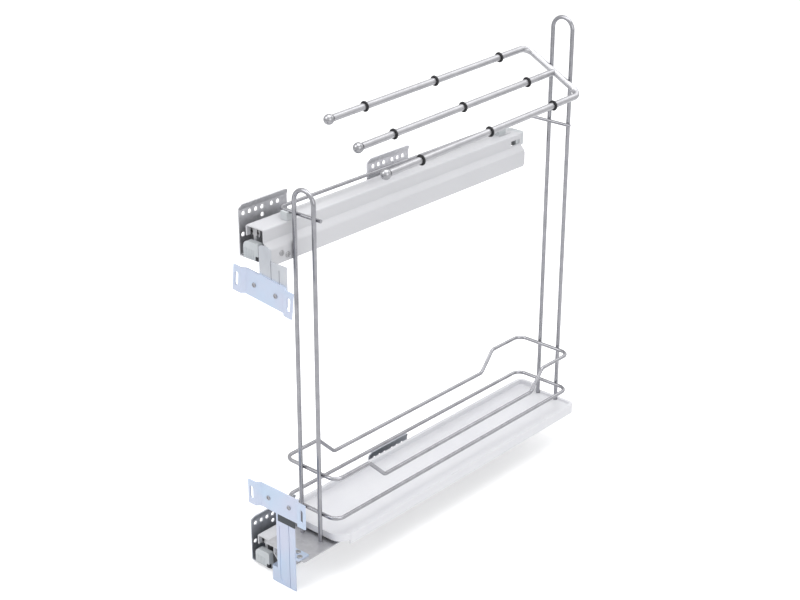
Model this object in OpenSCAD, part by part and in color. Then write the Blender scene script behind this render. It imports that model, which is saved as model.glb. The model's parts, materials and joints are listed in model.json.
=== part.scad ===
// Pull-out towel rail for a narrow base cabinet. Two side-mounted ball runners carry two wire loops,
// a wire frame, two galleries, a bottle tray, three towel bars and the brackets of the cabinet's door.
// X runs from the cabinet's side wall into the cabinet, Y from the door to the rear, and Z up.
// The origin lies on the wall, midway between the two screws of the lower front bracket.

/* [Wall brackets] */
// Height from the lower to the upper row of screw holes
row_rise = 376; // [350:1:420]
// Distance of the two screws of a bracket
screw_spacing = 32; // [30:1:34]
// Pitch of the neighbouring holes in a row
hole_pitch = 9; // [8:0.5:10]
// Diameter of the screw holes
hole_d = 5; // [4:0.1:5.5]
// Distance from the front to the rear bracket
bracket_spacing = 200; // [180:1:240]
// Length of a bracket along the wall
bracket_len = 70; // [68:1:80]
// Height of a bracket above its row of holes
bracket_over = 12; // [10:0.5:14]
// Thickness of the bracket sheet
bracket_t = 1.5; // [1.2:0.1:1.8]

/* [Ball runners] */
// Distance of the rails' middle from the wall
rail_x = 20; // [18:0.5:22]
// Length of the fixed rails
rail_len = 422; // [400:1:440]
// Diameter of the balls
ball_d = 3.5; // [3:0.1:3.6]
// Number of balls in each row
balls_per_row = 8; // [4:1:10]
// Length of the ball cages
cage_len = 205; // [180:1:210]
// Wall of the rail profiles
rail_wall = 1.5; // [1.3:0.1:1.6]
// Half width of the fixed rail
fixed_half = 11; // [10.8:0.1:11.2]
// Height of the fixed rail
fixed_h = 11.5; // [11:0.1:12]
// Half width of the moving rail
moving_half = 7.2; // [7:0.1:7.25]
// Height of the moving rail
moving_h = 10.5; // [10:0.1:11]
// Length of the middle rail's neck
neck_len = 12.9; // [12:0.1:14]

/* [Cover profiles] */
// Drop of a cover's top below the row of holes
cover_drop = 7.8; // [7:0.1:9]
// Thickness of the cover sheet
cover_t = 1.5; // [1.2:0.1:1.6]
// Width of a cover's flat top
cover_top_w = 26.5; // [26:0.1:28]
// Height of a cover's upper wall
cover_upper_h = 14; // [12:0.5:15]
// Width and height of the slope between the two walls
cover_slope_w = 6.6; // [6.3:0.1:8]
// Overall height of a cover
cover_h = 39.9; // [39.5:0.1:42]

/* [Soft close] */
// Length of the soft-close housing
soft_len = 140; // [130:1:160]
// Width of the soft-close housing
soft_w = 10.7; // [10.2:0.1:10.7]
// Height of the soft-close housing
soft_h = 16; // [15:0.1:16]
// Diameter of the striker pin
striker_d = 3; // [2.6:0.1:3.2]

/* [Wire frame and loops] */
// Diameter of the loops' wire
loop_d = 5; // [4.5:0.1:5.5]
// Distance between the legs of a loop
loop_w = 28.4; // [26:0.1:32]
// Distance from the front to the rear loop
frame_len = 440; // [430:1:470]
// Height of the front loop over the row of holes
front_loop_h = 407.8; // [395:0.1:420]
// Height of the rear loop over the row of holes
rear_loop_h = 506.8; // [480:0.1:540]
// Diameter of the upper frame's wire
frame_d = 4; // [3.5:0.1:4.5]
// Height of the upper frame's wire over the cover
frame_over = 9.4; // [8.5:0.1:11]
// Width of the upper frame
frame_w = 62; // [58:0.5:66]

/* [Galleries] */
// Diameter of the galleries' wire
ring_d = 4.5; // [4:0.1:5]
// Width of the galleries
ring_w = 79.7; // [74:0.1:84]
// Corner radius of the galleries
ring_r = 12; // [9:0.5:16]
// Height of the lower gallery
ring_low_z = 26.4; // [22:0.1:32]
// Height of the upper gallery at the loops
ring_high_z = 77.1; // [72:0.1:90]
// Depth of the dip in the upper gallery's long sides
dip = 25.3; // [20:0.1:28]

/* [Towel bars] */
// Diameter of the bars
bar_d = 8; // [7:0.1:9]
// Wall of the bars
bar_wall = 1; // [0.8:0.1:1.2]
// Width of the bent pair of bars, along its cross part
bar_span = 91.7; // [84:0.1:96]
// Tilt of the cross part across the cabinet, in degrees
bar_tilt = 28.2; // [20:0.1:32]
// Fall of the bars towards the door, in degrees
bar_fall = 1.7; // [1:0.1:2]
// Drop of the cross part's middle under the rear loop's top
bar_drop = 65.2; // [52:0.1:70]
// Length of the bars from the cross part to the balls
bar_len = 345; // [320:1:360]
// Diameter of the ball ends
end_d = 12; // [11:0.1:13]
// Diameter of the grip rings' rubber
grip_d = 2.3; // [2:0.1:2.6]

/* [Bottle tray] */
// Length of the tray
tray_len = 439; // [415:1:442]
// Width of the tray
tray_w = 90; // [86:0.5:94]
// Corner radius of the tray at its front
tray_r = 18; // [14:0.5:20]
// Wall of the tray
tray_t = 1.5; // [1.2:0.1:2]
// Depth of the tray's recess
tray_depth = 2.5; // [1.5:0.1:3]
// Rise of the ledge over the runner
ledge_rise = 3.5; // [2.5:0.1:4.5]
// Width of the carrier plate
carrier_w = 61.5; // [58:0.5:64]

/* [Door brackets] */
// Distance of the brackets' front from the cover
door_ahead = 11; // [9:0.1:14]
// Thickness of the door brackets
door_t = 1.5; // [1.2:0.1:1.8]
// Length of a door plate
plate_len = 87.5; // [82:0.5:94]
// Height of a door plate
plate_h = 29.5; // [26:0.5:31]
// Thickness of a door plate
plate_t = 2; // [1.6:0.1:2.2]
// Width of the slots in the door plates
slot_w = 5; // [4.5:0.1:5.5]
// Length of the slots in the door plates
slot_len = 16; // [13:0.5:18]
// Tilt of the upper door plate, in degrees
plate_tilt = 6.2; // [0:0.1:8]

/* [Hidden] */
$fn = 48;

// Shared small sizes
over = 1; // overrun of cuts
weld = 0.05; // gap between pieces that are welded or seated
fit = 0.05; // radial clearance of a pin or a ball in its seat
lap = 0.1; // by how far a straight wire enters its bend
swell = 0.04;
steel = "#9a9da1";
chrome = "#c9cbd2";
profile = "#d8d9dc";
zinc = "#c8d6ea";
nylon = "#dbe0e0";
plastic = "#ececef";
rubber = "#16171a";

// Rows and brackets
low = 0;
high = row_rise;
half_screws = screw_spacing / 2;
front_bracket_y = 3.5; // middle of the front bracket's sheet
lip_rise = 7; // height of the bracket's leaning lip
lip_lean = 3;
bracket_r = 6;
second_row = 8.7; // drop of the single hole under the row
side_hole_drop = 23; // drop of the hole beside the rails
side_hole_y = front_bracket_y - bracket_len / 2 + hole_d;

// Ball runners: heights are measured down from the cover's top, widths from the rails' middle
race = 1.1; // from a ball's centre to the rail's face beside it
slide = 0.4; // gap on both sides of a ball cage's web
cage_t = 0.6;
upper_head_h = 7;
lower_head_h = 9.5;
neck_half = 2;
cage_side = 3.6; // height of a cage's side past the ball's centre
moving_top = cover_t;
in_ball_x = moving_half - rail_wall - race;
head_half = in_ball_x - race;
middle_top = moving_top + rail_wall + slide * 2 + cage_t;
in_ball_z = middle_top + upper_head_h / 2;
lower_head_top = middle_top + upper_head_h + neck_len;
middle_bottom = lower_head_top + lower_head_h;
out_ball_z = middle_bottom - lower_head_h / 2;
out_ball_x = fixed_half - rail_wall - race;
lower_head_half = out_ball_x - race;
fixed_floor = middle_bottom + slide * 2 + cage_t;
fixed_bottom = fixed_floor + rail_wall;
head_slot_half = lower_head_half - ball_d / 2 + race - rail_wall;
head_slot_h = lower_head_h - rail_wall * 2;
fixed_y = -26; // front end of the fixed rail
middle_y = -27; // front end of the middle and moving rails
fixed_end = fixed_y + rail_len;
buffer_l = 4;
buffer_half = 7;
buffer_h = 7;
middle_end = fixed_end - 6;
moving_end = fixed_end + 4;
cage_y = 78; // front end of the ball cages when the unit is closed
cage_margin = 5;
ball_pitch = (cage_len - cage_margin * 2) / (balls_per_row - 1);

// Rivets of the fixed rails in the brackets' flanges
rivet_d = 4;
rivet_head_d = 7;
rivet_head_h = 1.2;
rivet_span = 20; // from the bracket's screw centre to a rivet

// Cover profiles
cover_left = -8.8; // outer face of the short wall, from the rails' middle
cover_lip_h = 12.3; // height of the short wall
cover_slope_h = 6.8;
cover_front = middle_y - 4.5;
cover_end = moving_end + 0.8;
cover_right = rail_x + cover_left + cover_top_w + cover_slope_w; // near face of the lower wall
cover_knee = cover_upper_h + cover_slope_h;
tail_l = 3; // sloping cut at the lower rear corner
tail_h = 3;
mark_l = 7; // slot in the cover's top under the cross wire
mark_w = 2;
mark_x = 7;
mark_y = 7;
window_l = 16.5; // opening in the upper wall at the cover's rear end
window_h = 6;
window_top = 6.3;
window_rim = 2.5;
seam_l = 23; // slit in the cover's top at its rear end
seam_w = 1.5;
seam_x = 6;
seam_rear = 7;
cap_nose = 9; // length of the cover's end cap
cap_plug = 8;
cap_h = 15;

// Front caps and bumpers
cap_t = 7;
cap_top = 17;
cap_bottom = fixed_bottom - slide;
cap_r = 7;
bumper_w = 4;
bumper_h = 5;
tongue_l = 10;
rib_d = 1;
rib_pitch = 2.5;
ribs = 6;

// Soft close
soft_top = 22;
soft_wall = 1.2;
soft_gap = 0.1; // between the housing and the cover's wall, and around the catch
soft_x = cover_right - rail_x - cover_t - soft_gap - soft_w;
striker_y = 352;
soft_end = striker_y + 33;
soft_y = soft_end - soft_len;
striker_z = out_ball_z + 0.95;
striker_base_d = 6;
striker_base_t = 0.6;
notch_h = striker_d + slide * 2;
catch_l = 17;
catch_y = striker_y - 7;
catch_notch = 4.6;
damper_d = 6.4;
damper_l = 52;
rod_d = 2.4;
spring_od = 5;
spring_id = 3.4;
cavity_x = soft_x + soft_wall;
cavity_w = soft_w - soft_wall * 2;
cavity_top = soft_top + soft_wall;
cavity_h = soft_h - soft_wall * 2;
soft_mid = cavity_x + cavity_w / 2;
damper_z = cavity_top + damper_d / 2 + soft_gap;
spring_z = cavity_top + cavity_h - spring_od / 2 - soft_gap * 4;
end_plate_t = 2;

// Loops and upper frame
leg_gap = 0.5;
leg_x = cover_right + leg_gap + loop_d / 2;
loop_r = loop_w / 2;
frame_x = leg_x + loop_r; // middle of the frame
front_y = 4;
rear_y = front_y + frame_len;
carrier_t = 1.5;
carrier_top = carrier_t - cover_drop;
frame_z = high - cover_drop + frame_over;
frame_r = 8;
cross_front = front_y + (loop_d + frame_d) / 2 + weld;
cross_rear = rear_y - (loop_d + frame_d) / 2 - weld;
frame_right = leg_x + loop_w + loop_d + 0.8;
frame_left = frame_right - frame_w;
front_clip_w = 9.5;
rear_clip_l = 13;
clip_depth = 11; // across the wire

// Galleries
ring_front = front_y + (loop_d + ring_d) / 2 + weld;
ring_rear = rear_y - (loop_d + ring_d) / 2 - weld;
ring_x = frame_x - 4.35;
dip_front = 53.7; // from the ring's front to where the wire starts to fall
dip_rear = 56.7;
dip_front_run = 25.7;
dip_rear_run = 21.2;
dip_bend = 8;

// Towel bars
bar_bend = 12;
bar_cross_y = rear_y - (loop_d + bar_d) / 2 - weld * 8;
bar_x = frame_x - 6.9;
mid_share = 0.02; // place of the middle bar, as a share of the span
mid_off = bar_span * mid_share;
plug_l = 8;
end_seat = end_d / 2 - 0.75;
bar_tip = bar_len - end_seat; // from the cross part's axis to the open ends of the tubes
grip_stretch = 0.05; // by how far a ring's rubber is flattened on the bar
grip_shares = [0.163, 0.504, 0.846]; // places of the rings along a bar, from the ball

// Tray and carrier
tray_front = front_y + loop_d / 2 + 3.5;
tray_over = 48; // from the loops' middle to the tray's far side
tray_left = frame_x - tray_over;
tray_right = tray_left + tray_w;
tray_floor = 2.5;
rim_z = tray_floor + tray_depth;
rim_w = 4.5;
ledge_z = tray_floor + ledge_rise;
ledge_w = 21;
ledge_run = 9;
apron_drop = 0.3; // of the near wall under the carrier
tray_rear_r = 8; // corner radius at the tray's rear end
far_rim = 3; // extra height of the rim round the ledge
front_lift = 3; // gap between the carrier and the tray's front wall
front_lift_l = 14;
leg_hole = loop_d + 0.6; // holes for the rear loop's legs
carrier_left = rail_x + 11;
carrier_setback = 2.5; // of the plate behind the lower door bracket
carrier_front = cover_front - door_ahead + door_t + carrier_setback;
carrier_rear = rear_y + 4;
carrier_rivet_x = rail_x + 14.4;
rivet_inset = 89; // from the tray's rear end to the last carrier rivet
carrier_rivet_ys = [60, 210, tray_front + tray_len - rivet_inset];
small_d = 3.4;
small_head_d = 6.5;
small_head_h = 1;

// Door brackets
door_y = cover_front - door_ahead; // front face of the brackets
flange_x = cover_right + weld; // inner face of the lower bracket's flange
up_flange_x = cover_right - cover_t - weld - door_t; // the upper bracket's flange lies inside the cover
low_main_x = 9.6; // from the cover's near face to the lower bracket's main sheet
low_main_w = 28.1;
low_foot_x = 22;
low_foot_w = 21;
low_foot_l = 15;
low_head_w = 44;
low_head_h = 24;
low_flange_l = 34;
low_screws = [[30.2, 10.6], [38.7, 4.7]]; // from the cover's near face and the bracket's back
bead_x = 13.7;
bead_w = 13;
bead_depth = 0.6;
bead_top = 28;
bead_bottom = -38;
low_plate_x = 16.6; // from the cover's near face to the middle of the lower door plate
low_plate_z = 59;
strip_x = 13.7;
strip_w = 26;
strip_h = 9.2;
strip_t = 1.5;
up_tongue_w = 17.1;
up_tongue_drop = 11.5;
up_tongue_r = 4;
up_main_x = 4.7;
up_main_w = 32;
up_main_drop = 26.2;
up_head_w = 46;
up_head_h = 22;
up_flange_gap = 1; // from the flange to the front loop
up_flange_l = front_y - loop_d / 2 - up_flange_gap - door_y;
up_flange_h = 18;
up_flange_drop = 1.5; // of the flange's top under the cover's inner bend
up_screws = [[28.3, 29.2], [37, 33.2]]; // from the bracket's back and the cover's top
up_plate_x = 6.2;
up_plate_drop = 59.5;
flange_w = 11.5; // width of a door plate's end flanges
joggle = 4; // step of the end flanges towards the door
slot_inset = 5.35;
rivet_half = 15.75; // half the distance of a door plate's rivets
door_head_d = 5.5;

// Vector helpers and sheet metal sections
function unit(v) = v / norm(v);
function left_of(v) = [-v[1], v[0]];
function heading(p, i) = unit(p[i + 1] - p[i]);
function mitre(a, b) = (a + b) / (1 + a * b);
function side_point(p, i, t) =
  i == 0 ? p[0] + left_of(heading(p, 0)) * t
  : i == len(p) - 1 ? p[i] + left_of(heading(p, i - 1)) * t
  : p[i] + left_of(mitre(heading(p, i - 1), heading(p, i))) * t;
function strip(p, t) = concat(p, [for (i = [len(p) - 1 : -1 : 0]) side_point(p, i, t)]);
function turn(p, i) =
  let (a = heading(p, i - 1), b = heading(p, i)) atan2(a[0] * b[1] - a[1] * b[0], a * b);
function cut_back(p, i, r) = r * tan(abs(turn(p, i)) / 2);

// A bent sheet whose section lies in X and Z, from y0 to y1
module sheet_along_y(path, t, y0, y1) {
  translate([0, y1, 0]) rotate([90, 0, 0]) linear_extrude(y1 - y0) polygon(strip(path, t));
}

module slab(x, y, z, size) {
  translate([x, y, z]) cube(size);
}

module rod_x(x, y, z, l, d) {
  translate([x, y, z]) rotate([0, 90, 0]) cylinder(h = l, d = d);
}

module rod_y(x, y, z, l, d) {
  translate([x, y, z]) rotate([-90, 0, 0]) cylinder(h = l, d = d);
}

module rod_z(x, y, z, l, d) {
  translate([x, y, z]) cylinder(h = l, d = d);
}

// A straight wire between two points of the X-Y plane
module wire(a, b, d) {
  run = b - a;
  translate([a[0], a[1], 0]) rotate([0, 0, atan2(run[1], run[0])]) rotate([0, 90, 0])
    cylinder(h = norm(run), d = d);
}

// The bend of a wire at point i of its path, a trace thicker than the straight lengths that enter it
module wire_bend(p, i, r, d) {
  angle = turn(p, i);
  side = angle > 0 ? 1 : -1;
  out = left_of(heading(p, i - 1)) * -side;
  centre = p[i] - heading(p, i - 1) * cut_back(p, i, r) - out * r;
  start = atan2(out[1], out[0]);
  translate([centre[0], centre[1], 0]) rotate([0, 0, min(start, start + angle)])
    rotate_extrude(angle = abs(angle)) translate([r, 0]) circle(d = d + swell);
}

// A bent wire along a path in the X-Y plane
module wire_path(p, r, d) {
  for (i = [0 : len(p) - 2]) {
    u = heading(p, i);
    a = i == 0 ? p[0] : p[i] + u * (cut_back(p, i, r) - lap);
    b = i == len(p) - 2 ? p[i + 1] : p[i + 1] - u * (cut_back(p, i + 1, r) - lap);
    wire(a, b, d);
  }
  for (i = [1 : len(p) - 2]) wire_bend(p, i, r, d);
}

// A plate in the X-Z plane with rounded corners, from y towards the rear
module rounded_panel(x, z, w, h, r, y, t) {
  translate([x, y + t, z]) rotate([90, 0, 0]) linear_extrude(t) rounded_square(w, h, r);
}

module rounded_square(w, h, r) {
  translate([r, 0]) square([w - r * 2, h]);
  translate([0, r]) square([w, h - r * 2]);
  for (cx = [r, w - r], cy = [r, h - r]) translate([cx, cy]) circle(r);
}

module rounded_block(x, y, z, w, l, h, r) {
  translate([x, y, z]) linear_extrude(h) rounded_square(w, l, r);
}

// Moves a runner's piece from the rails' middle and the cover's top to its row
module on_row(row) {
  translate([rail_x, 0, row - cover_drop]) children();
}

// Wall brackets
module bracket_sheet(y, l) {
  floor_z = -cover_drop - fixed_bottom;
  path = [
    [lip_lean, bracket_over], [0, bracket_over - lip_rise],
    [0, floor_z - bracket_t], [rail_x + fixed_half, floor_z - bracket_t]
  ];
  intersection() {
    sheet_along_y(path, bracket_t, y, y + l);
    union() {
      slab(-over, y - over, floor_z - bracket_t - over,
        [rail_x + fixed_half + over * 2, l + over * 2, -floor_z + bracket_t + over]);
      translate([-over, 0, 0]) rotate([90, 0, 90]) linear_extrude(lip_lean + bracket_t + over * 2)
        translate([y, -bracket_over]) rounded_square(l, bracket_over * 2, bracket_r);
    }
  }
}

module bracket(row, y, l, screw_y, hole_ys) {
  color(steel) translate([0, 0, row]) difference() {
    bracket_sheet(y, l);
    for (hy = hole_ys) rod_x(-over, screw_y + hy, 0, bracket_t + over * 2, hole_d);
    for (ry = [-rivet_span, rivet_span])
      rod_z(rail_x, screw_y + ry, -cover_drop - fixed_bottom - bracket_t - over,
        bracket_t + over * 2, rivet_d + fit * 2);
    if (screw_y == 0) {
      rod_x(-over, hole_pitch * 2 - half_screws, -second_row, bracket_t + over * 2, hole_d);
      rod_x(-over, side_hole_y, -side_hole_drop, bracket_t + over * 2, hole_d);
    }
  }
}

module front_bracket(row) {
  holes = [
    -half_screws - hole_pitch, -half_screws, hole_pitch - half_screws,
    hole_pitch * 2 - half_screws, half_screws, half_screws + hole_pitch
  ];
  bracket(row, front_bracket_y - bracket_len / 2, bracket_len, 0, holes);
}

module rear_bracket(row) {
  holes = [for (s = [-1, 1], k = [-1, 0, 1]) s * (half_screws + k * hole_pitch)];
  bracket(row, bracket_spacing - bracket_len / 2, bracket_len, bracket_spacing, holes);
}

module upper_front_bracket() { front_bracket(high); }
module upper_rear_bracket() { rear_bracket(high); }
module lower_front_bracket() { front_bracket(low); }
module lower_rear_bracket() { rear_bracket(low); }

// Rails: the fixed one opens up, the middle one holds both ball rows, the moving one opens down
module grooves(x, z, y0, y1) {
  for (s = [-1, 1]) rod_y(s * x, y0 - over, -z, y1 - y0 + over * 2, ball_d + fit * 2);
}

module fixed_rail(row) {
  color(steel) on_row(row) difference() {
    slab(-fixed_half, fixed_y, -fixed_bottom, [fixed_half * 2, rail_len, fixed_h]);
    slab(-fixed_half + rail_wall, fixed_y - over, -fixed_floor,
      [(fixed_half - rail_wall) * 2, rail_len + over * 2, fixed_h]);
    grooves(out_ball_x, out_ball_z, fixed_y, fixed_end);
    for (sy = [0, bracket_spacing], ry = [-rivet_span, rivet_span])
      rod_z(0, sy + ry, -fixed_bottom - over, rail_wall + over * 2, rivet_d + fit * 2);
  }
}

module middle_rail(row) {
  l = middle_end - middle_y;
  color(steel) on_row(row) difference() {
    union() {
      slab(-head_half, middle_y, -middle_top - upper_head_h, [head_half * 2, l, upper_head_h]);
      slab(-neck_half, middle_y, -middle_bottom + head_slot_h,
        [neck_half * 2, l, middle_bottom - middle_top - head_slot_h]);
      slab(-lower_head_half, middle_y, -middle_bottom, [lower_head_half * 2, l, lower_head_h]);
    }
    grooves(in_ball_x, in_ball_z, middle_y, middle_end);
    grooves(out_ball_x, out_ball_z, middle_y, middle_end);
    slab(-head_slot_half, middle_y - over, -middle_bottom - over,
      [head_slot_half * 2, l + over * 2, head_slot_h + over]);
  }
}

module moving_rail(row) {
  l = moving_end - middle_y;
  inner = moving_half - rail_wall;
  color(steel) on_row(row) difference() {
    slab(-moving_half, middle_y, -moving_top - moving_h, [moving_half * 2, l, moving_h]);
    slab(-inner, middle_y - over, -moving_top - moving_h - over,
      [inner * 2, l + over * 2, moving_h - rail_wall + over]);
    grooves(in_ball_x, in_ball_z, middle_y, moving_end);
  }
}

module upper_fixed_rail() { fixed_rail(high); }
module lower_fixed_rail() { fixed_rail(low); }
module upper_middle_rail() { middle_rail(high); }
module lower_middle_rail() { middle_rail(low); }
module upper_moving_rail() { moving_rail(high); }
module lower_moving_rail() { moving_rail(low); }

module rail_rivets(row) {
  color(steel) on_row(row)
    for (sy = [0, bracket_spacing], ry = [-rivet_span, rivet_span]) {
      rod_z(0, sy + ry, -fixed_bottom - bracket_t, rail_wall + bracket_t, rivet_d);
      rod_z(0, sy + ry, -fixed_bottom - bracket_t - rivet_head_h, rivet_head_h, rivet_head_d);
    }
}

module upper_rail_rivets() { rail_rivets(high); }
module lower_rail_rivets() { rail_rivets(low); }

module rear_buffers() {
  color(rubber) for (row = [low, high]) on_row(row)
    slab(-buffer_half, middle_end + slide, -fixed_floor, [buffer_half * 2, buffer_l, buffer_h]);
}

// Ball cages: a bent strip whose two sides hold the balls in round holes
module at_balls(x, z) {
  for (s = [-1, 1], i = [0 : balls_per_row - 1])
    translate([s * x, cage_y + cage_margin + i * ball_pitch, -z]) children();
}

module balls(row, x, z) {
  color(chrome) on_row(row) at_balls(x, z) sphere(d = ball_d);
}

module ball_holes(x, z) {
  at_balls(x, z) rod_x(-cage_t, 0, 0, cage_t * 2, ball_d + fit * 2);
}

module outer_retainer(row) {
  web_z = -fixed_floor + slide;
  side_h = cage_side - out_ball_z - web_z;
  color(steel) on_row(row) difference() {
    union() {
      slab(-out_ball_x - cage_t / 2, cage_y, web_z, [out_ball_x * 2 + cage_t, cage_len, cage_t]);
      for (s = [-1, 1])
        slab(s * out_ball_x - cage_t / 2, cage_y, web_z, [cage_t, cage_len, side_h]);
    }
    ball_holes(out_ball_x, out_ball_z);
  }
}

module inner_retainer(row) {
  web_top = -moving_top - rail_wall - slide;
  side_bottom = -in_ball_z - cage_side;
  color(steel) on_row(row) difference() {
    union() {
      slab(-in_ball_x - cage_t / 2, cage_y, web_top - cage_t,
        [in_ball_x * 2 + cage_t, cage_len, cage_t]);
      for (s = [-1, 1])
        slab(s * in_ball_x - cage_t / 2, cage_y, side_bottom,
          [cage_t, cage_len, web_top - side_bottom]);
    }
    ball_holes(in_ball_x, in_ball_z);
  }
}

module upper_outer_retainer() { outer_retainer(high); }
module lower_outer_retainer() { outer_retainer(low); }
module upper_inner_retainer() { inner_retainer(high); }
module lower_inner_retainer() { inner_retainer(low); }
module upper_outer_balls() { balls(high, out_ball_x, out_ball_z); }
module lower_outer_balls() { balls(low, out_ball_x, out_ball_z); }
module upper_inner_balls() { balls(high, in_ball_x, in_ball_z); }
module lower_inner_balls() { balls(low, in_ball_x, in_ball_z); }

// Front cap of a middle rail: a ribbed block with a tongue in the rail and a rubber bumper
module front_cap(row) {
  w = fixed_half * 2;
  h = cap_bottom - cap_top;
  color(nylon) on_row(row) difference() {
    union() {
      translate([0, middle_y, 0]) rotate([90, 0, 0]) linear_extrude(cap_t)
        translate([-fixed_half, -cap_bottom]) {
          square([w, h - cap_r]);
          translate([cap_r, 0]) square([w - cap_r, h]);
          translate([cap_r, h - cap_r]) circle(cap_r);
        }
      slab(-head_slot_half + fit, middle_y, -middle_bottom,
        [(head_slot_half - fit) * 2, tongue_l, head_slot_h - fit]);
    }
    slab(fixed_half - bumper_w, middle_y - cap_t - over, -cap_bottom - over,
      [bumper_w + over, cap_t / 2 + over, bumper_h + over]);
    for (i = [1 : ribs])
      rod_z(-fixed_half + i * rib_pitch, middle_y - cap_t, -cap_bottom - over, h - cap_r, rib_d);
  }
}

module bumper(row) {
  color(rubber) on_row(row)
    slab(fixed_half - bumper_w + weld, middle_y - cap_t, -cap_bottom,
      [bumper_w - weld, cap_t / 2 - weld, bumper_h - weld]);
}

module upper_front_cap() { front_cap(high); }
module lower_front_cap() { front_cap(low); }
module upper_bumper() { bumper(high); }
module lower_bumper() { bumper(low); }

// Cover: a bent profile over the moving rail, its near wall hangs beside the rails
module cover(row) {
  wall_x = cover_left + cover_top_w;
  path = [
    [cover_left, -cover_lip_h], [cover_left, 0], [wall_x, 0], [wall_x, -cover_upper_h],
    [wall_x + cover_slope_w, -cover_knee], [wall_x + cover_slope_w, -cover_h]
  ];
  color(profile) on_row(row) difference() {
    sheet_along_y(path, -cover_t, cover_front, cover_end);
    slab(mark_x - mark_w / 2, mark_y, -cover_t - over, [mark_w, mark_l, cover_t + over * 2]);
    if (row == low) for (y = carrier_rivet_ys)
      rod_z(carrier_rivet_x - rail_x, y, -cover_t - over, cover_t + over * 2, small_d + fit * 2);
    if (row == high) for (p = up_screws)
      rod_x(cover_right - rail_x - cover_t - over, door_y + door_t + p[0], -p[1],
        cover_t + over * 2, small_d + fit * 2);
    slab(wall_x - cover_t - over, cover_end - window_rim - window_l, -window_top - window_h,
      [cover_t + over * 2, window_l, window_h]);
    slab(seam_x, cover_end - seam_rear - seam_l, -cover_t - over, [seam_w, seam_l, cover_t + over * 2]);
    translate([wall_x, cover_end, -cover_h]) rotate([90, 0, 90])
      linear_extrude(cover_slope_w + over) polygon([[-tail_l, -over], [over, -over], [over, tail_h],
        [0, tail_h]]);
  }
}

module upper_cover() { cover(high); }
module lower_cover() { cover(low); }

module cover_end_caps() {
  plug_right = cover_left + cover_top_w - cover_t - weld;
  y = cover_end + weld;
  top = -cover_t - weld;
  inner = moving_half - rail_wall;
  color(nylon) for (row = [low, high]) on_row(row) {
    difference() {
      translate([cover_left, y, -cap_h]) linear_extrude(cap_h) intersection() {
        square([cover_top_w, cap_nose]);
        translate([0, -cap_nose]) rounded_square(cover_top_w, cap_nose * 2, cap_r);
      }
      slab(-inner, y - over, -cap_h - over, [inner * 2, cap_nose + over * 2,
        cap_h + over - moving_top - rail_wall]);
    }
    slab(moving_half + weld, y - cap_plug, -cap_h, [plug_right - moving_half - weld,
      cap_plug + weld, cap_h + top]);
  }
}

// Soft close: a striker on the fixed rail, and a sprung and damped catch in the upper cover
module soft_close_striker() {
  color(steel) on_row(high) {
    rod_x(fixed_half, striker_y, -striker_z, soft_x - fixed_half + soft_wall + catch_notch, striker_d);
    rod_x(fixed_half, striker_y, -striker_z, striker_base_t, striker_base_d);
  }
}

module soft_close_housing() {
  color(plastic) on_row(high) difference() {
    slab(soft_x, soft_y, -soft_top - soft_h, [soft_w, soft_len, soft_h]);
    slab(cavity_x, soft_y + soft_wall, -cavity_top - cavity_h, [cavity_w, soft_len, cavity_h]);
    slab(soft_x - over, catch_y, -striker_z - notch_h / 2, [soft_wall + over * 2, soft_len, notch_h]);
  }
}

module damper_cylinder() {
  color(steel) on_row(high) difference() {
    rod_y(soft_mid, soft_y + soft_wall, -damper_z, damper_l, damper_d);
    rod_y(soft_mid, soft_y + damper_l / 2, -damper_z, damper_l, rod_d + fit * 2);
  }
}

module damper_rod() {
  y = soft_y + damper_l / 2 + soft_wall;
  color(chrome) on_row(high) rod_y(soft_mid, y, -damper_z, catch_y - y, rod_d);
}

module closing_spring() {
  y = soft_y + soft_wall;
  color(steel) on_row(high) difference() {
    rod_y(soft_mid, y, -spring_z, catch_y - y, spring_od);
    rod_y(soft_mid, y - over, -spring_z, catch_y - y + over * 2, spring_id);
  }
}

module soft_close_catch() {
  color(nylon) on_row(high) difference() {
    slab(cavity_x + soft_gap, catch_y, -cavity_top - cavity_h + soft_gap,
      [cavity_w - soft_gap * 2, catch_l, cavity_h - soft_gap * 2]);
    slab(cavity_x - over, striker_y - notch_h / 2, -striker_z - notch_h / 2,
      [catch_notch + slide + over, catch_l, notch_h]);
  }
}

module soft_close_end_cap() {
  color(plastic) on_row(high) difference() {
    slab(soft_x, soft_end, -soft_top - soft_h, [soft_w, end_plate_t, soft_h]);
    slab(soft_x - over, soft_end - over, -striker_z - notch_h / 2,
      [soft_wall + catch_notch + slide + over, end_plate_t + over * 2, notch_h]);
  }
}

// Nylon clips that hold the wire frame on the upper cover
module front_frame_clip() {
  color(nylon) difference() {
    slab(frame_left + frame_r, cross_front - clip_depth / 2, high - cover_drop,
      [front_clip_w, clip_depth, frame_over]);
    rod_x(frame_left, cross_front, frame_z, front_clip_w + frame_r * 2, frame_d + weld * 2);
  }
}

module rear_frame_clip() {
  color(nylon) difference() {
    slab(frame_left - clip_depth / 2, moving_end - rear_clip_l * 2, high - cover_drop,
      [clip_depth, rear_clip_l, frame_over]);
    rod_y(frame_left, moving_end - rear_clip_l * 3, frame_z, rear_clip_l * 3, frame_d + weld * 2);
  }
}

// Loops: two legs and a half circle, standing on the carrier plate
module loop(y, top) {
  z = top - loop_r;
  color(chrome) translate([0, y, 0]) {
    for (x = [leg_x, leg_x + loop_w]) rod_z(x, 0, carrier_top, z - carrier_top, loop_d);
    translate([frame_x, 0, z]) rotate([90, 0, 0]) rotate_extrude(angle = 180)
      translate([loop_r, 0]) circle(d = loop_d);
  }
}

module front_loop() { loop(front_y, front_loop_h); }
module rear_loop() { loop(rear_y, rear_loop_h); }

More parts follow.
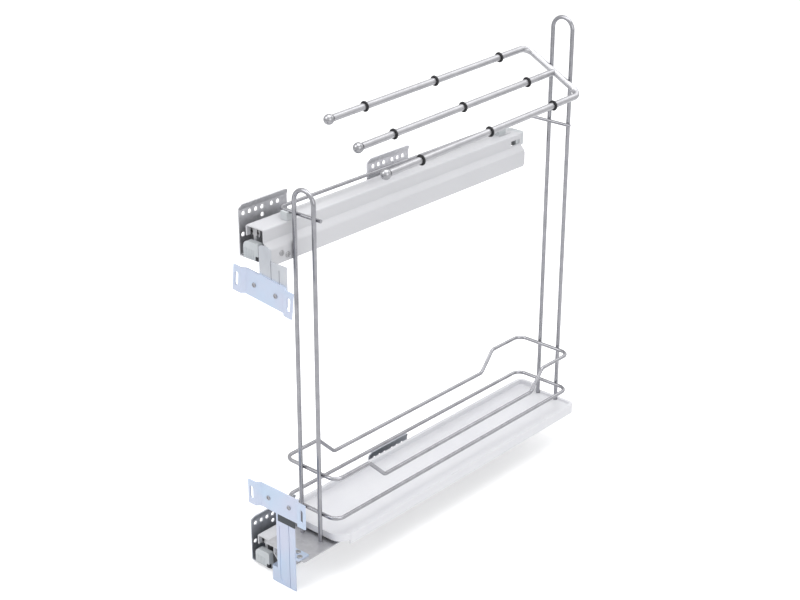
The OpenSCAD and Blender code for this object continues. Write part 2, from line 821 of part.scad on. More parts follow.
module upper_wire_frame() {
  path = [
    [frame_right, cross_front], [frame_left, cross_front],
    [frame_left, cross_rear], [frame_right, cross_rear]
  ];
  color(chrome) translate([0, 0, frame_z]) wire_path(path, frame_r, frame_d);
}

// Galleries: closed rings in front of and behind the loops' legs
module ring_ends(z) {
  x0 = ring_x - ring_w / 2;
  x1 = ring_x + ring_w / 2;
  y0 = ring_front + ring_r;
  y1 = ring_rear - ring_r;
  inset = [ring_r - lap, 0];
  paths = [
    [[x0, y0], [x0, ring_front], [x1, ring_front], [x1, y0]],
    [[x0, y1], [x0, ring_rear], [x1, ring_rear], [x1, y1]]
  ];
  translate([0, 0, z]) for (p = paths) {
    wire(p[1] + inset, p[2] - inset, ring_d);
    for (i = [1, 2]) wire_bend(p, i, ring_r, ring_d);
  }
}

module lower_gallery_ring() {
  y0 = ring_front + ring_r - lap;
  color(chrome) {
    ring_ends(ring_low_z);
    for (s = [-1, 1])
      rod_y(ring_x + s * ring_w / 2, y0, ring_low_z, ring_rear - ring_r + lap - y0, ring_d);
  }
}

module upper_gallery_ring() {
  path = [
    [ring_front + ring_r - lap, ring_high_z], [ring_front + dip_front, ring_high_z],
    [ring_front + dip_front + dip_front_run, ring_high_z - dip],
    [ring_rear - dip_rear - dip_rear_run, ring_high_z - dip],
    [ring_rear - dip_rear, ring_high_z], [ring_rear - ring_r + lap, ring_high_z]
  ];
  color(chrome) {
    ring_ends(ring_high_z);
    for (s = [-1, 1]) translate([ring_x + s * ring_w / 2, 0, 0]) rotate([90, 0, 90])
      wire_path(path, dip_bend, ring_d);
  }
}

// Towel bars: the frame of the bars has the cross part on X and the bars along -Y
module on_bars() {
  translate([bar_x, bar_cross_y, rear_loop_h - bar_drop]) rotate([bar_fall, 0, 0]) rotate([0, bar_tilt, 0]) children();
}

module bar_pair(tip, d) {
  half = bar_span / 2;
  wire_path([[-half, -tip], [-half, 0], [half, 0], [half, -tip]], bar_bend, d);
}

module towel_bar_loop() {
  color(chrome) on_bars() difference() {
    bar_pair(bar_tip, bar_d);
    bar_pair(bar_tip + over, bar_d - bar_wall * 2);
  }
}

module middle_towel_bar() {
  color(chrome) on_bars() difference() {
    rod_y(mid_off, -bar_tip, 0, bar_tip, bar_d);
    rod_y(mid_off, -bar_tip - over, 0, bar_tip + over, bar_d - bar_wall * 2);
    rod_x(mid_off - bar_d, 0, 0, bar_d * 2, bar_d + weld * 2);
  }
}

module towel_bar_ends() {
  color(chrome) on_bars() for (x = [-bar_span / 2, mid_off, bar_span / 2]) {
    translate([x, -bar_len, 0]) sphere(d = end_d);
    rod_y(x, -bar_len, 0, end_seat + plug_l, bar_d - bar_wall * 2 - fit * 2);
  }
}

module grip_rings() {
  r = bar_d / 2 + grip_d / 2 - grip_stretch;
  color(rubber) on_bars() for (x = [-bar_span / 2, mid_off, bar_span / 2], s = grip_shares)
    translate([x, bar_len * (s - 1), 0]) rotate([90, 0, 0]) difference() {
      rotate_extrude() translate([r, 0]) circle(d = grip_d);
      translate([0, 0, -grip_d]) cylinder(h = grip_d * 2, d = bar_d + fit / 2);
    }
}

// Tray: a shallow recess with a ledge over the runner and an apron along the near side
module tray_levels(inset) {
  translate([0, tray_front + tray_len - inset, 0]) rotate([90, 0, 0])
    linear_extrude(tray_len - inset * 2) children();
}

module tray_block(z, h, inset) {
  w = tray_w - inset * 2;
  l = tray_len - inset * 2;
  translate([tray_left + inset, tray_front + inset, z]) linear_extrude(h) intersection() {
    rounded_square(w, l + tray_r * 2, tray_r - inset);
    translate([0, -tray_r * 2]) rounded_square(w, l + tray_r * 2, tray_rear_r - inset);
  }
}

module bottle_tray() {
  base = -cover_drop - apron_drop;
  top = ledge_z + tray_depth + far_rim;
  ledge_x = tray_left + ledge_w;
  color(plastic) difference() {
    intersection() {
      tray_block(base, top - base, 0);
      tray_levels(0) polygon([
        [tray_left, base], [tray_left, top], [ledge_x, top],
        [ledge_x + ledge_run, rim_z], [tray_right, rim_z], [tray_right, base]
      ]);
    }
    intersection() {
      tray_block(tray_floor, top, rim_w);
      tray_levels(rim_w) polygon([
        [tray_left, ledge_z], [ledge_x, ledge_z], [ledge_x + ledge_run, tray_floor],
        [tray_right, tray_floor], [tray_right, top + over], [tray_left, top + over]
      ]);
    }
    intersection() {
      tray_block(base - over, ledge_z - base + over, tray_t);
      tray_levels(tray_t) polygon([
        [tray_left, base - over], [tray_left, ledge_z - tray_t], [ledge_x, ledge_z - tray_t],
        [ledge_x + ledge_run, tray_floor - tray_t], [tray_right, tray_floor - tray_t],
        [tray_right, base - over]
      ]);
    }
    slab(tray_left - over, tray_front - over, base - over,
      [carrier_left - tray_left + over, tray_len + over * 2, weld + apron_drop + over]);
    slab(carrier_left - weld, tray_front - over, base - over,
      [carrier_w + weld * 2, tray_len + over * 2, carrier_t + weld + apron_drop + over]);
    slab(tray_left - over, tray_front - over, base - over,
      [tray_w + over * 2, front_lift_l + over, carrier_top + front_lift - base + over]);
    for (x = [leg_x, leg_x + loop_w]) rod_z(x, rear_y, base - over, top - base + over * 2, leg_hole);
  }
}

module tray_carrier() {
  color(steel) difference() {
    slab(carrier_left, carrier_front, -cover_drop, [carrier_w, carrier_rear - carrier_front, carrier_t]);
    for (y = carrier_rivet_ys)
      rod_z(carrier_rivet_x, y, -cover_drop - over, carrier_t + over * 2, small_d + fit * 2);
    for (p = low_screws)
      rod_z(cover_right + p[0], door_y + door_t + p[1], -cover_drop - over, carrier_t + over * 2,
        small_d + fit * 2);
  }
}

module carrier_rivets() {
  color(steel) for (y = carrier_rivet_ys) {
    rod_z(carrier_rivet_x, y, -cover_drop - cover_t, cover_t + carrier_t, small_d);
    rod_z(carrier_rivet_x, y, carrier_top, small_head_h, small_head_d);
  }
}

// Door plates: a panel whose two slotted ends step towards the door
module door_plate_sheet() {
  half = plate_len / 2;
  inner = half - flange_w;
  path = [
    [-half, -joggle], [-inner, -joggle], [joggle - inner, 0],
    [inner - joggle, 0], [inner, -joggle], [half, -joggle]
  ];
  difference() {
    translate([0, 0, -plate_h / 2]) linear_extrude(plate_h) polygon(strip(path, plate_t));
    for (s = [-1, 1]) {
      x = s * (half - slot_inset);
      straight = slot_len - slot_w;
      slab(x - slot_w / 2, -joggle - over, -straight / 2, [slot_w, plate_t + over * 2, straight]);
      for (t = [-1, 1]) rod_y(x, -joggle - over, t * straight / 2, plate_t + over * 2, slot_w);
      rod_y(s * rivet_half, -over, 0, plate_t + over * 2, small_d + fit * 2);
    }
  }
}

module plate_rivets() {
  for (s = [-1, 1]) {
    rod_y(s * rivet_half, 0, 0, plate_t + weld + door_t, small_d);
    rod_y(s * rivet_half, -small_head_h, 0, small_head_h, door_head_d);
  }
}

module on_low_plate() {
  translate([cover_right + low_plate_x, door_y - plate_t - weld, low_plate_z]) children();
}

module on_up_plate() {
  translate([cover_right + up_plate_x, door_y - plate_t - weld, high - cover_drop - up_plate_drop])
    rotate([0, plate_tilt, 0]) children();
}

module upper_door_plate() { color(zinc) on_up_plate() door_plate_sheet(); }
module lower_door_plate() { color(zinc) on_low_plate() door_plate_sheet(); }
module upper_plate_rivets() { color(chrome) on_up_plate() plate_rivets(); }
module lower_plate_rivets() { color(chrome) on_low_plate() plate_rivets(); }

module rivet_holes() {
  for (s = [-1, 1])
    rod_y(s * rivet_half, plate_t - over, 0, door_t + over * 2, small_d + fit * 2);
}

module lower_door_bracket() {
  base = -cover_drop - cover_h;
  knee = -cover_drop - cover_knee;
  main_x = cover_right + low_main_x;
  head_top = low_plate_z + low_head_h / 2;
  flange_h = knee - base;
  color(zinc) difference() {
    union() {
      slab(main_x, door_y, base, [low_main_w, door_t, head_top - base]);
      slab(main_x + low_main_w - low_head_w, door_y, low_plate_z - low_head_h / 2,
        [low_head_w, door_t, low_head_h]);
      slab(flange_x, door_y, base, [main_x - flange_x + over, door_t, flange_h]);
      slab(flange_x, door_y, base, [door_t, low_flange_l, flange_h]);
      slab(cover_right + low_foot_x, door_y, carrier_top,
        [low_foot_w, low_foot_l + door_t, door_t]);
    }
    slab(cover_right + bead_x, door_y - over, bead_bottom, [bead_w, bead_depth + over,
      bead_top - bead_bottom]);
    rod_y(cover_right + bead_x + bead_w / 2, door_y - over, bead_bottom, bead_depth + over, bead_w);
    on_low_plate() rivet_holes();
    for (p = low_screws)
      rod_z(cover_right + p[0], door_y + door_t + p[1], carrier_top - over, door_t + over * 2,
        small_d + fit * 2);
  }
}

module lower_bracket_screws() {
  color(steel) for (p = low_screws) {
    x = cover_right + p[0];
    y = door_y + door_t + p[1];
    rod_z(x, y, -cover_drop, carrier_t + door_t, small_d);
    rod_z(x, y, carrier_top + door_t, small_head_h, small_head_d);
  }
}

module adjuster_strip() {
  top = low_plate_z - plate_h / 2 - weld;
  color(rubber) slab(cover_right + strip_x, door_y - strip_t - weld, top - strip_h,
    [strip_w, strip_t, strip_h]);
}

module upper_door_bracket() {
  top = high - cover_drop;
  main_bottom = top - up_plate_drop - up_head_h / 2;
  tongue_h = up_plate_drop - up_tongue_drop;
  color(zinc) difference() {
    union() {
      rounded_panel(up_flange_x, top - up_plate_drop, up_tongue_w, tongue_h, up_tongue_r, door_y,
        door_t);
      slab(cover_right + up_main_x, door_y, main_bottom,
        [up_main_w, door_t, top - up_main_drop - main_bottom]);
      on_up_plate() slab(-up_head_w / 2, plate_t + weld, -up_head_h / 2,
        [up_head_w, door_t, up_head_h]);
      slab(up_flange_x, door_y, top - cover_knee - up_flange_h, [door_t, up_flange_l,
        up_flange_h - up_flange_drop]);
    }
    on_up_plate() rivet_holes();
    for (p = up_screws)
      rod_x(up_flange_x - over, door_y + door_t + p[0], top - p[1], door_t + over * 2,
        small_d + fit * 2);
  }
}

module upper_bracket_screws() {
  color(steel) for (p = up_screws) {
    y = door_y + door_t + p[0];
    z = high - cover_drop - p[1];
    rod_x(up_flange_x, y, z, door_t + weld + cover_t, small_d);
    rod_x(cover_right, y, z, small_head_h, small_head_d);
  }
}

upper_front_bracket();
upper_rear_bracket();
lower_front_bracket();
lower_rear_bracket();
upper_fixed_rail();
lower_fixed_rail();
upper_rail_rivets();
lower_rail_rivets();
rear_buffers();
soft_close_striker();
upper_middle_rail();
lower_middle_rail();
upper_front_cap();
lower_front_cap();
upper_bumper();
lower_bumper();
upper_outer_retainer();
upper_outer_balls();
upper_inner_retainer();
upper_inner_balls();
lower_outer_retainer();
lower_outer_balls();
lower_inner_retainer();
lower_inner_balls();
upper_moving_rail();
lower_moving_rail();
upper_cover();
lower_cover();
cover_end_caps();
soft_close_housing();
damper_cylinder();
damper_rod();
closing_spring();
soft_close_catch();
soft_close_end_cap();
front_frame_clip();
rear_frame_clip();
front_loop();
rear_loop();
upper_wire_frame();
lower_gallery_ring();
upper_gallery_ring();
towel_bar_loop();
middle_towel_bar();
towel_bar_ends();
grip_rings();
bottle_tray();
tray_carrier();
carrier_rivets();
upper_door_bracket();
upper_door_plate();
upper_plate_rivets();
upper_bracket_screws();
lower_door_bracket();
lower_door_plate();
lower_plate_rivets();
lower_bracket_screws();
adjuster_strip();
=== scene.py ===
"""Looks of the pull-out towel rail: finishes, studio, folded sheets, mouldings and fasteners."""

from __future__ import annotations

import json
import logging
import math
from collections.abc import Callable, Sequence
from dataclasses import dataclass, field
from enum import Enum

import bmesh
import bpy
from mathutils import Matrix, Vector

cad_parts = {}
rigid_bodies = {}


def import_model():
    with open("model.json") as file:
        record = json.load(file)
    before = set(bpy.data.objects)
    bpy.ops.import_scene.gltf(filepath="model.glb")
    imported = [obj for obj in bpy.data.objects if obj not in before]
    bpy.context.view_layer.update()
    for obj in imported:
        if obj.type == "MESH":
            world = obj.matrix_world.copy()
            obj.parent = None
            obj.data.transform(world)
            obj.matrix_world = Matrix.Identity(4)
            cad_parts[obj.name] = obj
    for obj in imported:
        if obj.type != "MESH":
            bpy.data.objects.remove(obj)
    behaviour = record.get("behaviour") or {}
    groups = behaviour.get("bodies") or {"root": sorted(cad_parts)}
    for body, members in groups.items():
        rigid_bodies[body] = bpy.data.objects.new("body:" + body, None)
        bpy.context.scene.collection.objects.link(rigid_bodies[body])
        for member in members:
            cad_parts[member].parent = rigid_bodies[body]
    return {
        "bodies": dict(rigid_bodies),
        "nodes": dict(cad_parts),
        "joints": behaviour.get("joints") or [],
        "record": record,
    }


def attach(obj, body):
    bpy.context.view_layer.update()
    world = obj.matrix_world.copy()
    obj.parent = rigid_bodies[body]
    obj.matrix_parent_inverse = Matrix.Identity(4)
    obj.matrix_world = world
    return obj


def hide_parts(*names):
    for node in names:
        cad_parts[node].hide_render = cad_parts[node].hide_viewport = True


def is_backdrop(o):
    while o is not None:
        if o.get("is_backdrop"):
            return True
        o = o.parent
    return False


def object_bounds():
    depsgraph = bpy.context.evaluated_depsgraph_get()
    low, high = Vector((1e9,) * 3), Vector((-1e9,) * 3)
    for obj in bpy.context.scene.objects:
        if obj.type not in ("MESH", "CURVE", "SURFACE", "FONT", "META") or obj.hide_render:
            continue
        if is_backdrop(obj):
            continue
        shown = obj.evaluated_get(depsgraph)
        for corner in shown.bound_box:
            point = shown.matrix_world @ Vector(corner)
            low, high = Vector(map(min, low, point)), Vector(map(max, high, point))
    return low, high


LOG = logging.getLogger("towel_rail")
MM = 0.001
Colour = tuple[float, float, float]
Point = tuple[float, float, float]
Stops = tuple[tuple[float, float], ...]


class Axis(Enum):
    """A direction of the frame."""

    X = (1.0, 0.0, 0.0)
    Y = (0.0, 1.0, 0.0)
    Z = (0.0, 0.0, 1.0)

    @property
    def vector(self) -> Vector:
        """The direction as a vector."""
        return Vector(self.value)


class Socket:
    """A shader socket that takes part in Python expressions."""

    def __init__(self, graph: Graph, socket: bpy.types.NodeSocket) -> None:
        """Wraps a socket.

        Args:
            graph: The graph that owns the socket's node.
            socket: The output socket.
        """
        self.graph = graph
        self.socket = socket

    def _maths(self, operation: str, *values: Socket | float) -> Socket:
        """Adds a Math node over the given values."""
        return self.graph.node("ShaderNodeMath", {"operation": operation}, dict(enumerate(values)))

    def __add__(self, other: Socket | float) -> Socket:
        """The sum."""
        return self._maths("ADD", self, other)

    __radd__ = __add__

    def __sub__(self, other: Socket | float) -> Socket:
        """The difference."""
        return self._maths("SUBTRACT", self, other)

    def __rsub__(self, other: float) -> Socket:
        """The difference from a number."""
        return self._maths("SUBTRACT", other, self)

    def __mul__(self, other: Socket | float) -> Socket:
        """The product."""
        return self._maths("MULTIPLY", self, other)

    __rmul__ = __mul__

    def clamp(self) -> Socket:
        """The value kept between 0 and 1."""
        return self.graph.node("ShaderNodeClamp", {}, {0: self})


@dataclass(frozen=True)
class Noise:
    """A cloudy pattern: its fineness and the finer layers on it."""

    scale: float
    detail: float


@dataclass(frozen=True)
class Relief:
    """How strongly a pattern shows as a bump, and its depth in millimetres."""

    strength: float
    depth: float


class Graph:
    """Adds nodes to one node tree."""

    def __init__(self, tree: bpy.types.NodeTree) -> None:
        """Empties the tree.

        Args:
            tree: The tree of a material or world.
        """
        self.tree = tree
        self.tree.nodes.clear()

    def node(self, kind: str, settings: dict, inputs: dict, output: int | str = 0) -> Socket:
        """Adds a node.

        Args:
            kind: The node's type.
            settings: Its settings, set before its sockets; stops sets a ramp's stops.
            inputs: Values or sockets by socket number or name.
            output: The output socket that is returned.

        Returns:
            The chosen output.
        """
        made = self.tree.nodes.new(kind)
        for key, value in settings.items():
            if key == "stops":
                self._stops(made.color_ramp, value)
            else:
                setattr(made, key, value)
        for key, value in inputs.items():
            if isinstance(value, Socket):
                self.tree.links.new(value.socket, made.inputs[key])
            else:
                made.inputs[key].default_value = value
        return Socket(self, made.outputs[output])

    @staticmethod
    def _stops(ramp: bpy.types.ColorRamp, stops: Stops) -> None:
        """Sets a ramp's grey stops.

        Args:
            ramp: The ramp.
            stops: The stops, each a place and a level.
        """
        while len(ramp.elements) < len(stops):
            ramp.elements.new(1.0)
        for element, (place, level) in zip(ramp.elements, stops):
            element.position = place
            element.color = (level, level, level, 1.0)

    def close(self, kind: str, shader: Socket) -> None:
        """Links a shader to the tree's output, a node of the given type."""
        self.tree.links.new(shader.socket, self.tree.nodes.new(kind).inputs["Surface"])


class Shader(Graph):
    """Builds one material's nodes."""

    def __init__(self, name: str) -> None:
        """Makes an empty material.

        Args:
            name: The material's name.
        """
        self.material = bpy.data.materials.new(name)
        self.material.use_nodes = True
        super().__init__(self.material.node_tree)

    def place(self) -> Socket:
        """The point on the piece in metres."""
        return self.node("ShaderNodeTexCoord", {}, {}, "Object")

    def stretched(self, scale: Point) -> Socket:
        """The point scaled along the axes, for grain with a direction."""
        return self.node("ShaderNodeMapping", {}, {"Vector": self.place(), "Scale": scale})

    def noise(self, pattern: Noise, at: Socket | None = None) -> Socket:
        """Cloudy noise between 0 and 1."""
        inputs = {"Vector": at or self.place(), "Scale": pattern.scale, "Detail": pattern.detail}
        return self.node("ShaderNodeTexNoise", {}, inputs, "Fac")

    def cells(self, scale: float) -> Socket:
        """The grey of each crystal of a spangled coat.

        Args:
            scale: The crystals' fineness.

        Returns:
            A level for each crystal, between 0 and 1.
        """
        inputs = {"Vector": self.place(), "Scale": scale}
        colour = self.node("ShaderNodeTexVoronoi", {}, inputs, "Color")
        return self.node("ShaderNodeSeparateColor", {}, {0: colour})

    def ramp(self, value: Socket, stops: Stops) -> Socket:
        """The value through grey stops."""
        return self.node("ShaderNodeValToRGB", {"stops": stops}, {0: value})

    def blend(self, mask: Socket, low: Colour, high: Colour) -> Socket:
        """Mixes two colours.

        Args:
            mask: 0 for the first colour and 1 for the second.
            low: The first colour.
            high: The second colour.

        Returns:
            The mixed colour.
        """
        settings = {"data_type": "RGBA", "clamp_factor": True}
        inputs = {0: mask, 6: (*low, 1.0), 7: (*high, 1.0)}
        return self.node("ShaderNodeMix", settings, inputs, 2)

    def bump(self, height: Socket, relief: Relief) -> Socket:
        """A normal from a height."""
        inputs = {"Height": height, "Strength": relief.strength, "Distance": relief.depth * MM}
        return self.node("ShaderNodeBump", {}, inputs)

    def surface(self, **sockets: Socket | float | tuple) -> bpy.types.Material:
        """Closes the material with a Principled shader.

        Args:
            **sockets: Values or sockets, with the spaces in a socket's name written as underscores.

        Returns:
            The finished material.
        """
        inputs = {key.replace("_", " "): value for key, value in sockets.items()}
        self.close("ShaderNodeOutputMaterial", self.node("ShaderNodeBsdfPrincipled", {}, inputs))
        return self.material


@dataclass(frozen=True)
class Finish:
    """A finish that is made once and shared by its pieces."""

    name: str

    def build(self) -> bpy.types.Material:
        """Makes the material's nodes."""
        raise NotImplementedError

    def material(self) -> bpy.types.Material:
        """The shared material, made at its first use."""
        return bpy.data.materials.get(self.name) or self.build()


@dataclass(frozen=True)
class Plated(Finish):
    """Bright plated wire and tube."""

    tone: Colour
    shade: Colour
    roughness: float
    haze: Noise = Noise(90.0, 4.0)
    haze_stops: Stops = ((0.3, 0.0), (0.75, 1.0))
    haze_dulls: float = 0.09
    marks: Noise = Noise(900.0, 2.0)
    marks_stretch: Point = (1.0, 1.0, 0.25)
    marks_relief: Relief = Relief(0.03, 0.02)

    def build(self) -> bpy.types.Material:
        """Bright metal with a faint haze and fine drawing marks."""
        s = Shader(self.name)
        haze = s.noise(self.haze)
        marks = s.noise(self.marks, s.stretched(self.marks_stretch))
        return s.surface(
            Base_Color=s.blend(s.ramp(haze, self.haze_stops), self.tone, self.shade),
            Metallic=1.0,
            Roughness=self.roughness + self.haze_dulls * haze,
            Normal=s.bump(marks, self.marks_relief),
        )


@dataclass(frozen=True)
class Galvanised(Finish):
    """Hot-dipped or plated sheet with small spangles."""

    tone: Colour
    shade: Colour
    spangle: float
    roughness: float
    metal: float = 0.85
    film: Noise = Noise(60.0, 5.0)
    grain: Noise = Noise(1400.0, 2.0)
    crystal_tone_share: float = 0.45
    film_tone_share: float = 0.75
    crystal_shines: float = 0.05
    film_dulls: float = 0.12
    crystal_height_share: float = 0.5
    grain_height_share: float = 0.6
    relief: Relief = Relief(0.15, 0.05)

    def build(self) -> bpy.types.Material:
        """Crystals of two greys under a dull film."""
        s = Shader(self.name)
        crystal = s.cells(self.spangle)
        film = s.noise(self.film)
        grain = s.noise(self.grain)
        mask = (self.crystal_tone_share * crystal + self.film_tone_share * film).clamp()
        height = self.grain_height_share * grain + self.crystal_height_share * crystal
        return s.surface(
            Base_Color=s.blend(mask, self.shade, self.tone),
            Metallic=self.metal,
            Roughness=self.roughness + self.film_dulls * film - self.crystal_shines * crystal,
            Normal=s.bump(height, self.relief),
        )


@dataclass(frozen=True)
class Passivated(Finish):
    """Zinc plating with the film of its passivation."""

    tone: Colour
    blush: Colour
    roughness: float
    metal: float = 0.55
    drift: Noise = Noise(22.0, 3.0)
    drift_stops: Stops = ((0.35, 0.0), (0.68, 1.0))
    drift_dulls: float = 0.1
    marks: Noise = Noise(700.0, 2.0)
    marks_stretch: Point = (1.0, 1.0, 0.08)
    marks_relief: Relief = Relief(0.12, 0.05)

    def build(self) -> bpy.types.Material:
        """A film that drifts between two tints, over fine rolling marks."""
        s = Shader(self.name)
        drift = s.noise(self.drift)
        marks = s.noise(self.marks, s.stretched(self.marks_stretch))
        return s.surface(
            Base_Color=s.blend(s.ramp(drift, self.drift_stops), self.tone, self.blush),
            Metallic=self.metal,
            Roughness=self.roughness + self.drift_dulls * drift,
            Normal=s.bump(marks, self.marks_relief),
        )


@dataclass(frozen=True)
class Coated(Finish):
    """Powder-coated sheet."""

    tone: Colour
    shade: Colour
    roughness: float
    coat: float = 0.15
    peel: Noise = Noise(650.0, 2.0)
    peel_relief: Relief = Relief(0.18, 0.06)
    drift: Noise = Noise(14.0, 3.0)
    drift_dulls: float = 0.08

    def build(self) -> bpy.types.Material:
        """A fine orange peel and a faint drift of tone."""
        s = Shader(self.name)
        peel = s.noise(self.peel)
        drift = s.noise(self.drift)
        return s.surface(
            Base_Color=s.blend(drift, self.shade, self.tone),
            Roughness=self.roughness + self.drift_dulls * drift,
            Coat_Weight=self.coat,
            Normal=s.bump(peel, self.peel_relief),
        )


@dataclass(frozen=True)
class Moulded(Finish):
    """Injection-moulded plastic or rubber."""

    tone: Colour
    shade: Colour
    roughness: float
    grain: Noise
    grain_relief: Relief
    grain_dulls: float = 0.1
    flow: Noise = Noise(26.0, 4.0)
    flow_stops: Stops = ((0.3, 0.0), (0.7, 1.0))

    def build(self) -> bpy.types.Material:
        """A moulding's flow marks and fine grain."""
        s = Shader(self.name)
        flow = s.noise(self.flow)
        grain = s.noise(self.grain)
        return s.surface(
            Base_Color=s.blend(s.ramp(flow, self.flow_stops), self.shade, self.tone),
            Roughness=self.roughness + self.grain_dulls * grain,
            Normal=s.bump(grain, self.grain_relief),
        )


SHEET_SPANGLE = 260.0
RAIL_SPANGLE = 500.0
WALL_ROUGHNESS = 0.36
TRAY_GRAIN = Noise(900.0, 3.0)
CAP_GRAIN = Noise(500.0, 3.0)
TRIM_GRAIN = Noise(700.0, 3.0)
RUBBER_GRAIN = Noise(800.0, 3.0)
FINE_RELIEF = Relief(0.2, 0.05)
TRIM_RELIEF = Relief(0.2, 0.08)
RUBBER_RELIEF = Relief(0.2, 0.1)

CHROME = Plated("bright_chrome", (0.39, 0.39, 0.415), (0.3, 0.3, 0.32), 0.14)
# The tube and ball chromes are copies of the wire chrome with painted reflection in their tones: the
# tubes paler, the balls darker for the dark reflection under them.
BARS_PAINTED_REFLECTION = Plated("chromed_tube_painted_reflection", (0.5, 0.5, 0.52), (0.43, 0.43, 0.45), 0.3)
BALLS_PAINTED_REFLECTION = Plated("chromed_ball_painted_reflection", (0.44, 0.44, 0.46), (0.3, 0.3, 0.315), 0.16)
POLISHED = Plated("polished_steel", (0.66, 0.66, 0.68), (0.58, 0.58, 0.6), 0.12)
GALVANISED = Galvanised("galvanised_sheet", (0.58, 0.58, 0.6), (0.46, 0.46, 0.48), SHEET_SPANGLE, 0.38)
RAIL = Galvanised("zinc_plated_rail", (0.46, 0.46, 0.47), (0.38, 0.38, 0.39), RAIL_SPANGLE, 0.32)
ZINC = Passivated("blue_zinc", (0.55, 0.66, 0.81), (0.62, 0.65, 0.78), 0.34)
CLEAR_ZINC = Passivated("clear_zinc", (0.62, 0.64, 0.67), (0.5, 0.52, 0.56), 0.3)
COVER = Coated("silver_white_coat", (0.66, 0.66, 0.68), (0.62, 0.62, 0.64), 0.38)
TRAY = Moulded("moulded_tray", (0.8, 0.8, 0.82), (0.77, 0.77, 0.8), 0.4, TRAY_GRAIN, FINE_RELIEF)
NYLON = Moulded(
    "moulded_nylon", (0.63, 0.655, 0.665), (0.57, 0.595, 0.61), 0.42, CAP_GRAIN, TRIM_RELIEF)
GREY_PLASTIC = Moulded(
    "moulded_grey", (0.2, 0.21, 0.22), (0.16, 0.17, 0.18), 0.45, TRIM_GRAIN, TRIM_RELIEF)
BLACK_PLASTIC = Moulded(
    "moulded_black", (0.05, 0.06, 0.07), (0.035, 0.04, 0.05), 0.42, TRIM_GRAIN, TRIM_RELIEF)
RUBBER = Moulded(
    "black_rubber", (0.022, 0.022, 0.026), (0.014, 0.014, 0.016), 0.55, RUBBER_GRAIN, RUBBER_RELIEF)


def wall_sheet(name: str, tone: Colour, shade: Colour) -> Galvanised:
    """The finish of one wall bracket, in the tone that the photo gives it, so its tone holds painted
    light and shade for that bracket's place.
    """
    return Galvanised(name, tone, shade, SHEET_SPANGLE, WALL_ROUGHNESS)


# Lit and shaded copies of one galvanised sheet: the upper brackets' tones are painted light, palest at
# the upper rear, and the lower brackets' tones are painted shade.
WALL_SHEET_PAINTED_LIGHT = {
    "upper_front": wall_sheet("galvanised_upper_front_painted_light", (0.66, 0.66, 0.68), (0.5, 0.5, 0.52)),
    "upper_rear": wall_sheet("galvanised_upper_rear_painted_light", (0.88, 0.88, 0.91), (0.7, 0.7, 0.73)),
    "lower_front": wall_sheet("galvanised_lower_front_painted_shade", (0.55, 0.57, 0.61), (0.4, 0.42, 0.46)),
    "lower_rear": wall_sheet("galvanised_lower_rear_painted_shade", (0.44, 0.46, 0.5), (0.32, 0.34, 0.38)),
}

SLOT_FINISHES: dict[str, Finish] = {
    "galvanised": GALVANISED,
    "rail_steel": RAIL,
    "ball_steel": POLISHED,
    "rubber": RUBBER,
    "cover_coat": COVER,
    "nylon": NYLON,
    "grey_plastic": GREY_PLASTIC,
    "tray_plastic": TRAY,
    "black_plastic": BLACK_PLASTIC,
    "zinc": ZINC,
    "chrome_wire": CHROME,
}

# The towel bars and their ball ends take the chrome copies whose tones are painted reflection.
OWN_FINISHES: dict[str, Finish] = {
    "towel_bar_loop": BARS_PAINTED_REFLECTION,
    "middle_towel_bar": BARS_PAINTED_REFLECTION,
    "towel_bar_ends": BALLS_PAINTED_REFLECTION,
}


@dataclass(frozen=True)
class Lamp:
    """A soft square lamp: its place and side in metres and its power in watts."""

    name: str
    at: Point
    side: float
    watts: float


